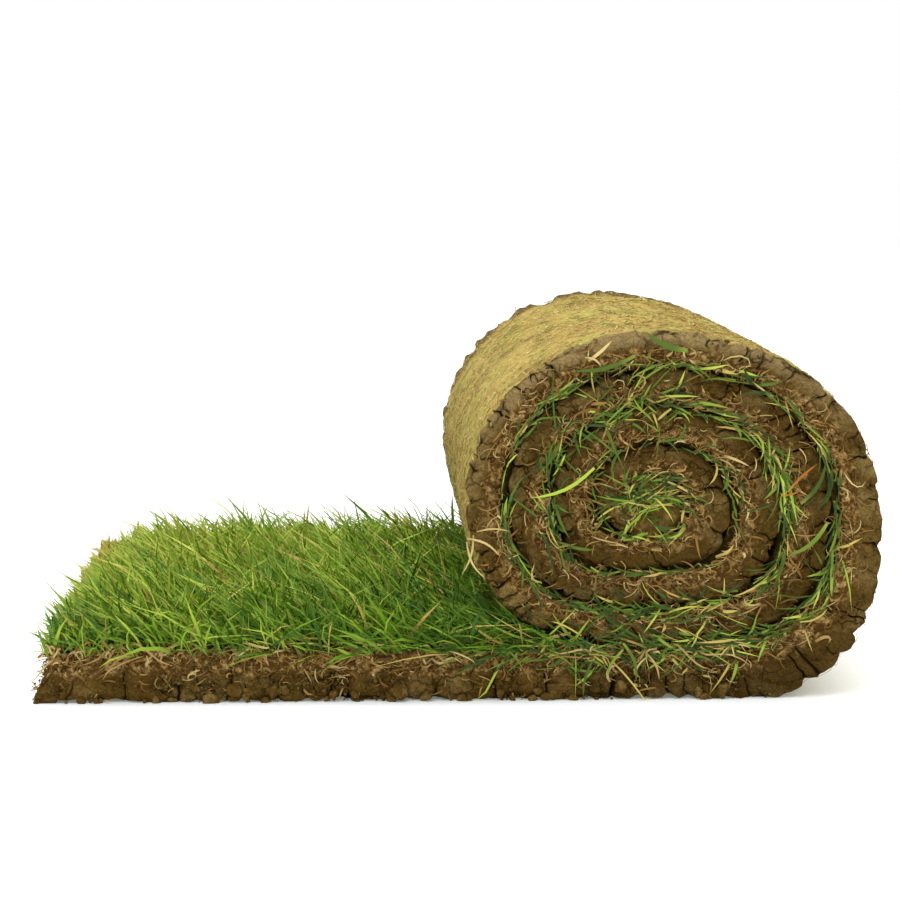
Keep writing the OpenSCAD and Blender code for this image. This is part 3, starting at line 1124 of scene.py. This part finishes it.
def eye_tuft(name, grass, side, seed):
    """The tuft that closes the roll's eye, most of its blades lying level."""
    rng = np.random.default_rng(seed)
    n = grass.eye
    straw = rng.random(n) < 0.22
    root = xyz(rng.normal(3, 8, n) * MM, side * (HALF_WIDTH - 2 * MM), rng.normal(0, 4, n) * MM)
    root += np.array([PATH.eye[0], 0, PATH.eye[1]])
    length = drawn(rng, n, 17, 6, 6, 34) * MM
    swing = rng.normal(0, 0.4, n) + np.pi * (rng.random(n) < 0.65)
    reach = xyz(np.cos(swing), side * rng.uniform(0.1, 0.45, n), np.sin(swing))
    bend = xyz(rng.normal(0, 0.2, n), side * rng.uniform(-0.3, 0, n), rng.normal(-0.1, 0.3, n))
    spine = arcs(root, length, reach, bend, 5)
    width = grass.width * drawn(rng, n, 0.7, 0.25, 0.3, 1.4)
    facing = sideways(rng, n, 0.4, side, 0.5)
    tint = np.where(straw, rng.uniform(0.76, 0.92, n), drawn(rng, n, 0.33, 0.2, 0.03, 0.75))
    return strands(name, spine, blade_widths(width, 5), facing, tint)


class TURF_OT_comb_ends(bpy.types.Operator):
    """Lays the blades that show between the turns at the roll's two ends"""

    bl_idname = "turf.comb_ends"
    bl_label = "Comb Ends"

    def execute(self, context):
        grass = context.scene.turf_grass
        for name, side, seed in (("rolled_grass_front", -1, 43), ("rolled_grass_back", 1, 44)):
            parts = [comb_end(name, grass, side, seed), eye_tuft("tuft", grass, side, seed + 10)]
            finish_piece(joined(name, parts), "Pressed leaves", sharp=STRAND_ANGLE)
        return {"FINISHED"}


def stems(name, spine, width, taper, facing, tint):
    """Stems or roots wound with the strip. taper times width is their width at each point but the tip."""
    return strands(name, roll_up(spine), width[:, None] * np.array(taper), facing, tint, keel=0.4)


def curls(root, side, length, swing, twist, rise):
    """Spines of stems that lie curled on a long edge, starting at heading swing and turning by twist."""
    t = np.linspace(0, 1, 6)
    angle = swing[:, None] + twist[:, None] * t[:-1] ** 1.5
    steps = xyz(np.cos(angle), 0, 0.75 * np.sin(angle)) / 5
    line = np.concatenate([np.zeros((len(root), 1, 3)), np.cumsum(steps, 1)], 1)
    line[..., 1] = side * (rise[:, None] * t - 0.8 * rise[:, None] * t * t)
    return root[:, None] + line * length[:, None, None]


def lay_thatch(name, fibre, side, seed):
    """Curly dead stems along one long edge of the mat."""
    rng = np.random.default_rng(seed)
    n = fibre.thatch
    along = rng.uniform(0, PATH.length, n)
    thick = PATH.at(along, PATH.thickness)
    spread = np.where(along < PATH.flat + 60 * MM, 0.36, 0.29)
    depth = np.clip(np.abs(rng.normal(0, 1, n)) * spread - 0.05, -0.1, 0.97 if side < 0 else 0.6)
    across = side * (HALF_WIDTH - rng.uniform(0, 3, n) * MM)
    length = skewed(rng, n, 2.15, 0.45, 3, 26) * MM
    swing = rng.uniform(0, 2 * np.pi, n)
    root = xyz(along, across, -depth * thick)
    spine = curls(root, side, length, swing, rng.normal(0, 2.1, n), rng.uniform(0.05, 0.5, n))
    spine[..., 0] += cut_slope(np.maximum(spine[..., 0], 0), depth[:, None])
    spine = kept_near(spine, 6 * MM)
    width = skewed(rng, n, -0.45, 0.5, 0.25, 2.0) * MM
    facing = sideways(rng, n, 0.5, side, 0.5)
    tint = drawn(rng, n, 0.42, 0.27, 0.02, 0.98)
    return stems(name, spine, width, [0.9, 1, 1, 0.85, 0.6], facing, tint)


def hang_stems(name, fibre, side, seed):
    """Pale stems that fan out of the grass and hang over a long edge, up to the roll's foot."""
    rng = np.random.default_rng(seed)
    fans = fibre.fans
    fan = np.repeat(np.arange(fans), rng.integers(2, 9, fans))
    n = len(fan)
    along = rng.uniform(4 * MM, PATH.flat + 70 * MM, fans)[fan] + rng.normal(0, 1.2, n) * MM
    across = side * (HALF_WIDTH - 1 * MM + rng.uniform(-2, 1, n) * MM)
    length = rng.uniform(0.45, 1.25, fans)[fan] * drawn(rng, n, 13, 6, 4, 30) * MM
    swing = rng.uniform(-1.2, 1.2, fans)[fan] + rng.normal(0, 0.6, n)
    reach = xyz(np.sin(swing), side * rng.uniform(0.2, 0.5, n), 0.5 * np.cos(swing))
    droop = drawn(rng, n, 0.55, 0.35, 0.0, 1.3)
    bend = xyz(np.sin(swing) * 0.2, side * rng.uniform(-0.3, 0, n), -droop)
    curl = xyz(rng.normal(0, 0.12, n), rng.normal(0, 0.02, n), rng.normal(0, 0.1, n))
    spine = arcs(xyz(along, across, rng.uniform(-4, 4, n) * MM), length, reach, bend, 8, curl)
    spine[..., 0] += cut_slope(np.maximum(spine[..., 0], 0), 0)
    spine = kept_near(spine, 7 * MM)
    width = drawn(rng, n, 0.95, 0.35, 0.35, 2.0) * MM
    facing = unit(xyz(rng.normal(0, 0.3, n), side, rng.normal(0.3, 0.3, n)))
    tint = drawn(rng, n, 0.7, 0.2, 0.2, 0.98)
    return stems(name, spine, width, [1, 1, 1, 0.95, 0.9, 0.8, 0.55], facing, tint)


def fray_end(name, fibre, seed):
    """Roots and stems that stick out of the strip's cut end."""
    rng = np.random.default_rng(seed)
    n = fibre.frayed
    depth = rng.uniform(0, 1, n) ** 1.3
    across = rng.uniform(-1, 1, n) * HALF_WIDTH
    thick = PATH.at(depth * 0, PATH.thickness)
    root = xyz(cut_slope(depth * 0, depth) + 2 * MM, across, -depth * thick)
    length = drawn(rng, n, 9, 4, 3, 20) * MM
    swing, rise = rng.normal(0, 0.9, n), rng.normal(0.1, 0.7, n)
    reach = xyz(-np.cos(swing) * np.cos(rise), np.sin(swing), np.sin(rise))
    bend = xyz(rng.uniform(-0.1, 0.5, n), rng.normal(0, 0.4, n), rng.normal(-0.3, 0.4, n))
    spine = kept_near(arcs(root, length, reach, bend, 4), 9 * MM)
    width = skewed(rng, n, -0.5, 0.4, 0.3, 1.6) * MM
    facing = unit(xyz(-1, rng.normal(0, 0.5, n), rng.normal(0, 0.5, n)))
    return stems(name, spine, width, [0.9, 1, 0.75], facing, drawn(rng, n, 0.4, 0.25, 0.02, 0.98))


class TURF_OT_lay_thatch(bpy.types.Operator):
    """Lays dead stems along the mat's edges, its cut end and under the grass"""

    bl_idname = "turf.lay_thatch"
    bl_label = "Lay Thatch"

    def execute(self, context):
        fibre = context.scene.turf_fibre
        for name, side, seed in (("thatch_front", -1, 45), ("thatch_back", 1, 46)):
            parts = [lay_thatch(name, fibre, side, seed), hang_stems("stems", fibre, side, seed + 20)]
            finish_piece(joined(name, parts), "Straw", sharp=STRAND_ANGLE)
        finish_piece(fray_end("cut_end_fibres", fibre, 51), "Straw", sharp=STRAND_ANGLE)
        return {"FINISHED"}


def root_mat(name, soil, fibre, seed):
    """Fine roots over the soil side, lying most of the way across the strip."""
    rng = np.random.default_rng(seed)
    n = fibre.roots
    along = rng.uniform(PATH.at_turn(0.1), PATH.at_turn(1.02), n)
    across = rng.uniform(-1, 1, n) * (HALF_WIDTH - 2 * MM)
    thick = PATH.at(along, PATH.thickness)
    length = drawn(rng, n, 12, 5, 4, 28) * MM
    swing = rng.normal(1.5, 0.5, n) * np.where(rng.random(n) < 0.5, -1, 1)
    reach = xyz(np.cos(swing), np.sin(swing), rng.normal(0, 0.02, n))
    bend = xyz(rng.normal(0, 0.25, n), rng.normal(0, 0.25, n), rng.normal(0, 0.02, n))
    spine = arcs(xyz(along, across, -thick), length, reach, bend, 3)
    lift = np.abs(rng.normal(0.2, 0.5, (n, 1))) * MM + 0.4 * MM
    back_rim = HALF_WIDTH - rng.uniform(8, 44, (n, 1)) * MM
    spine[..., 1] = np.clip(spine[..., 1], -HALF_WIDTH + 4 * MM, back_rim)
    worn = rim_notch(crack_plan(soil, OUTER_STRETCH, MAT_SEED), spine[..., 0], spine[..., 1])
    spine[..., 2] = worn - PATH.at(spine[..., 0], PATH.thickness) - lift * np.array([0.1, 1, 0.2])
    width = skewed(rng, n, -0.75, 0.35, 0.25, 1.2) * MM
    outward = PATH.at(along, PATH.outward)
    facing = xyz(outward[:, 0], 0, outward[:, 1])
    tint = np.where(rng.random(n) < 0.16, 0.97, drawn(rng, n, 0.5, 0.22, 0.02, 0.84))
    return stems(name, spine, width, [0.8, 1], facing, tint)


class TURF_OT_spread_roots(bpy.types.Operator):
    """Spreads fine roots over the soil side, most of them across the strip"""

    bl_idname = "turf.spread_roots"
    bl_label = "Spread Roots"

    def execute(self, context):
        roots = root_mat("root_mat", context.scene.turf_soil, context.scene.turf_fibre, 47)
        finish_piece(roots, "Roots", sharp=STRAND_ANGLE)
        return {"FINISHED"}


def clod_pattern(small):
    """The vertices and triangles of one clod about 1 in radius: a ball, or a cube if it is small."""
    bpy.ops.object.select_all(action="DESELECT")
    if small:
        bpy.ops.mesh.primitive_cube_add(size=1.3)
    else:
        bpy.ops.mesh.primitive_ico_sphere_add(subdivisions=3, radius=1)
    clod = bpy.context.active_object
    bpy.ops.object.mode_set(mode="EDIT")
    bpy.ops.mesh.quads_convert_to_tris()
    bpy.ops.object.mode_set(mode="OBJECT")
    points = np.array([v.co for v in clod.data.vertices])
    faces = np.array([list(f.vertices) for f in clod.data.polygons])
    bpy.data.objects.remove(clod)
    return points, faces


def scatter(name, pattern, place, size, seed):
    """Copies of one clod, each turned, stretched and dented in its own way."""
    rng = np.random.default_rng(seed)
    points, faces = pattern
    n = len(place)
    turn = np.linalg.qr(rng.normal(0, 1, (n, 3, 3)))[0]
    turn[np.linalg.det(turn) < 0] *= -1
    stretch = rng.uniform(0.6, 1.2, (n, 1, 3))
    shape = points[None] * stretch
    shape = shape * (1 + 0.5 * noise(points[None] + rng.uniform(0, 99, (n, 1, 3)), 0.7, 61)[..., None])
    shape = np.einsum("nij,nkj->nki", turn, shape) * size[:, None, None] + place[:, None]
    shape[..., 2] = np.maximum(shape[..., 2], 0)
    faces = (faces[None] + (np.arange(n) * len(points))[:, None, None]).reshape(-1, 3)
    return new_piece(name, shape.reshape(-1, 3), np.zeros((0, 4), int), faces)


def crumb_places(rng, count):
    """Places for crumbs on the edges and the cut end, most of them where the soil is crumbly."""
    n = count * 4
    on_flat = rng.random(n) < 0.5
    along = np.where(on_flat, rng.uniform(0, PATH.flat + 80 * MM, n), rng.uniform(0, PATH.length, n))
    depth = rng.uniform(0.05, 1, n)
    side = np.where(rng.random(n) < 0.6, -1, 1)
    depth = np.where(side > 0, 0.6 * depth, depth)
    flat = xyz(along, side * HALF_WIDTH, -depth * PATH.at(along, PATH.thickness))
    wanted = 0.08 + crumbly(flat, depth) + 0.5 * ramp(depth, 0.6, 0.3)
    keep = np.argsort(rng.random(n) / wanted)[:count]
    flat, side, depth = flat[keep], side[keep], depth[keep]
    flat[:, 1] -= side * rng.uniform(0, 2.5, count) * MM * (crumbly(flat, depth) > 0.3)
    at_cut = rng.random(count) < 0.1
    flat[at_cut, 0] = rng.uniform(-1, 1, at_cut.sum()) * MM
    flat[at_cut, 1] = rng.uniform(-1, 1, at_cut.sum()) * HALF_WIDTH
    flat[:, 0] += cut_slope(np.maximum(flat[:, 0], 0), depth)
    return roll_up(flat)


def clod_places(rng, count):
    """Places for clods low on the flat stretch's edges and at the roll's foot."""
    along = rng.uniform(0, PATH.flat + 60 * MM, count)
    side = np.where(rng.random(count) < 0.6, -1, 1)
    low = rng.random(count) ** 2 * 10 * MM
    across = side * (HALF_WIDTH - rng.uniform(0, 1.5, count) * MM)
    return roll_up(xyz(along, across, low - PATH.at(along, PATH.thickness)))


class TURF_OT_scatter_crumbs(bpy.types.Operator):
    """Scatters crumbs and clods of soil on the mat's edges and along the ground"""

    bl_idname = "turf.scatter_crumbs"
    bl_label = "Scatter Crumbs"

    def execute(self, context):
        fibre = context.scene.turf_fibre
        rng = np.random.default_rng(48)
        places = crumb_places(rng, fibre.crumbs)
        size = skewed(rng, fibre.crumbs, -0.5, 0.4, 0.35, 1.8) * MM
        crumbs = scatter("crumbs", clod_pattern(True), places, size, 49)
        finish_piece(crumbs, "Crumbs", sharp=15)
        places = clod_places(rng, fibre.clods)
        size = rng.uniform(1, 2.15, fibre.clods) ** 2 * MM
        finish_piece(scatter("clods", clod_pattern(False), places, size, 50), "Crumbs")
        return {"FINISHED"}


# Single stems and blades on the front end: finish, tint, width, then where each starts and ends beside the
# roll's eye, and how far it bows, all in millimetres.
STRAYS = (
    ("Pressed leaves", 0.99, 1.5, (88, 5), (106, 22), 1.5),
    ("Pressed leaves", 0.99, 1.1, (84, 3), (97, 7), -1),
    ("Straw", 0.99, 2.0, (-32, 84), (-18, 96), -0.5),
    ("Straw", 0.9, 1.3, (-34, 86), (-24, 80), 2),
    ("Pressed leaves", 0.3, 3.6, (27, 90), (2, 101), 2.5),
    ("Pressed leaves", 0.25, 2.6, (-4, 87), (-42, 78), 3),
    ("Pressed leaves", 0.62, 2.2, (-28, 20), (-66, 2), 4),
    ("Pressed leaves", 0.15, 2.4, (96, -2), (111, 24), -3),
    ("Pressed leaves", 0.4, 2.6, (112, -14), (88, -34), 3),
    ("Straw", 0.9, 1.4, (-104, -22), (-84, -33), 3),
    ("Straw", 0.95, 1.2, (-104, -24), (-92, -47), -3),
    ("Straw", 0.85, 1.2, (-100, -20), (-107, -44), 2),
    ("Straw", 0.8, 1.1, (-98, -18), (-78, -18), 2),
    ("Pressed leaves", 0.35, 2.0, (-10, -86), (-2, -110), 3),
    ("Pressed leaves", 0.45, 1.6, (-10, -90), (-20, -107), -2),
    ("Straw", 0.72, 1.3, (4, -92), (12, -109), 2),
    ("Straw", 0.8, 1.1, (5, -94), (-3, -106), -2),
)


class TURF_OT_place_strays(bpy.types.Operator):
    """Places the few stems and blades that stand out on the front end of the roll"""

    bl_idname = "turf.place_strays"
    bl_label = "Place Strays"

    def execute(self, context):
        t = np.linspace(0, 1, 7)[:, None]
        for finish in ("Pressed leaves", "Straw"):
            rows = [row for row in STRAYS if row[0] == finish]
            start, end = (np.array([row[k] for row in rows], float)[:, None] * MM for k in (3, 4))
            normal = unit(end - start)[..., ::-1] * np.array([-1, 1])
            bow = np.array([row[5] for row in rows])[:, None, None] * MM
            section = start + (end - start) * t + normal * bow * np.sin(np.pi * t) + PATH.eye
            out = HALF_WIDTH + 1 * MM + 4 * MM * np.sin(np.pi * (0.15 + 0.75 * t[:, 0]))
            spine = xyz(section[..., 0], -out, section[..., 1])
            width = np.array([row[2] for row in rows]) * MM
            facing = np.tile([0.0, -1.0, 0.3], (len(rows), 1))
            tint = np.array([row[1] for row in rows])
            name = "strays_" + finish.split()[-1].lower()
            piece = strands(name, spine, blade_widths(width, 7), facing, tint)
            finish_piece(piece, finish, sharp=STRAND_ANGLE)
        return {"FINISHED"}


# ------------------------------------------------------------------ the stage


CAMERA_PLACE = (-0.1717, -1.604, 0.34)  # metres from the roll's eye, from its front end and from the floor
CAMERA_TILT, CAMERA_TURN = 6.69, -2.066  # degrees down from level, and to the left of straight ahead


class TURF_OT_set_stage(bpy.types.Operator):
    """Sets the floor, the light and the camera"""

    bl_idname = "turf.set_stage"
    bl_label = "Set Stage"

    def execute(self, context):
        stage = context.scene.turf_stage
        bpy.ops.object.select_all(action="DESELECT")
        bpy.ops.mesh.primitive_plane_add(size=12, location=(0, 0, -0.0002))
        floor = bpy.context.active_object
        floor.name = "floor"
        material = new_material("Floor")
        glow = {"Emission_Color": (0.86, 1, 1, 1), "Emission_Strength": 0.14}
        surface(material.node_tree, Base_Color=(*stage.floor, 1), Roughness=0.8, **glow)
        floor.data.materials.append(material)
        context.scene.world = self.surround(stage)
        context.scene.view_settings.view_transform = "Standard"
        middle = (CAD_BOX[0] + CAD_BOX[1]) / 2
        self.lamp("key", (middle.x - 0.5, -1.3, 1.7), 1.2, stage.key)
        self.lamp("top", (middle.x + 0.2, 0.1, 1.9), 1.6, stage.key * 0.7)
        self.camera(stage)
        return {"FINISHED"}

    def surround(self, stage):
        """White where the camera sees it, and as a light dimmer in front and brighter high above."""
        world = bpy.data.worlds.new("Surround")
        world.use_nodes = True
        tree = world.node_tree
        place = add(tree, "ShaderNodeTexCoord").outputs["Generated"]
        _, y, z = add(tree, "ShaderNodeSeparateXYZ", place).outputs
        behind = maths(tree, "MULTIPLY_ADD", step(tree, y, -0.4, 0.1), 1 - stage.front, stage.front)
        strength = maths(tree, "MULTIPLY_ADD", step(tree, z, 0.3, 0.8), stage.above, behind)
        seen = add(tree, "ShaderNodeLightPath").outputs["Is Camera Ray"]
        strength = maths(tree, "MULTIPLY_ADD", seen, maths(tree, "SUBTRACT", 1.0, strength), strength)
        tree.nodes["Background"].inputs["Color"].default_value = (1, 1, 1, 1)
        tree.links.new(strength, tree.nodes["Background"].inputs["Strength"])
        return world

    def lamp(self, name, place, size, power):
        bpy.ops.object.light_add(type="AREA", location=place)
        lamp = bpy.context.active_object
        lamp.name = name
        lamp.data.size = size
        lamp.data.energy = power
        aim = Vector((0, 0, 0.1)) - lamp.location
        lamp.rotation_euler = aim.to_track_quat("-Z", "Y").to_euler()

    def camera(self, stage):
        bpy.ops.object.camera_add()
        camera = bpy.context.active_object
        camera.data.lens = stage.lens
        camera.data.sensor_width = 36
        x, y, z = CAMERA_PLACE
        camera.location = (PATH.eye[0] + x, -HALF_WIDTH + y, z)
        camera.rotation_euler = (math.radians(90 - CAMERA_TILT), 0, math.radians(CAMERA_TURN))
        bpy.context.scene.camera = camera


class TURF_OT_mix_finishes(bpy.types.Operator):
    """Makes the materials"""

    bl_idname = "turf.mix_finishes"
    bl_label = "Mix Finishes"

    def execute(self, context):
        scene = context.scene
        soil, grass, fibre = scene.turf_soil, scene.turf_grass, scene.turf_fibre
        mottle = mottle_group()
        soil_finish(mottle, soil)
        litter_finish(mottle, soil)
        crumb_finish(mottle, soil)
        old = (0.78, grass.yellow), (0.86, grass.straw), (0.94, grass.straw), (0.98, grass.rust)
        stops = [(0.0, grass.deep), (0.3, grass.green), (0.55, grass.bright), *old]
        strand_finish("Leaves", stops, tone(150, 150, 80), 0.45, (1.0, 1.0, 0.9), 0.5)
        stops = [(0.0, grass.shaded), (0.35, grass.pressed_green), (0.62, grass.bright), *old]
        strand_finish("Pressed leaves", stops, grass.yellow, 0.3, (1.0, 1.0, 0.9), 0.5)
        stops = [(0.0, fibre.brown), (0.5, fibre.tan), (1.0, fibre.pale)]
        strand_finish("Straw", stops, fibre.brown, 0.4, (1.0, 1.0, 1.0), 0.75)
        stops = [(0.0, soil.root_shade), (0.4, soil.root), (0.65, soil.root_light), (0.86, soil.root_pale)]
        strand_finish("Roots", [*stops, (0.93, soil.root_green)], soil.root, 0.2, (1.0, 1.0, 1.0), 0.8)
        return {"FINISHED"}


MAKERS = (
    TURF_OT_mix_finishes,
    TURF_OT_cut_mat,
    TURF_OT_press_nap,
    TURF_OT_grow_sward,
    TURF_OT_comb_ends,
    TURF_OT_lay_thatch,
    TURF_OT_spread_roots,
    TURF_OT_scatter_crumbs,
    TURF_OT_place_strays,
    TURF_OT_set_stage,
)


class TURF_PT_panel(bpy.types.Panel):
    """Lists the makers and their settings"""

    bl_label = "Turf Roll"
    bl_idname = "TURF_PT_panel"
    bl_space_type = "VIEW_3D"
    bl_region_type = "UI"
    bl_category = "Turf"

    def draw(self, context):
        for name, settings in SETTINGS.items():
            box = self.layout.box()
            for key in settings.__annotations__:
                box.prop(getattr(context.scene, name), key)
        for maker in MAKERS:
            self.layout.operator(maker.bl_idname)


CLASSES = (*SETTINGS.values(), *MAKERS, TURF_PT_panel)


def register():
    for item in CLASSES:
        bpy.utils.register_class(item)
    for name, settings in SETTINGS.items():
        setattr(bpy.types.Scene, name, bpy.props.PointerProperty(type=settings))


def unregister():
    for name in SETTINGS:
        delattr(bpy.types.Scene, name)
    for item in reversed(CLASSES):
        bpy.utils.unregister_class(item)


def main():
    register()
    for maker in MAKERS:
        family, name = maker.bl_idname.split(".")
        getattr(getattr(bpy.ops, family), name)()
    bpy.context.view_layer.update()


if __name__ == "__main__":
    main()
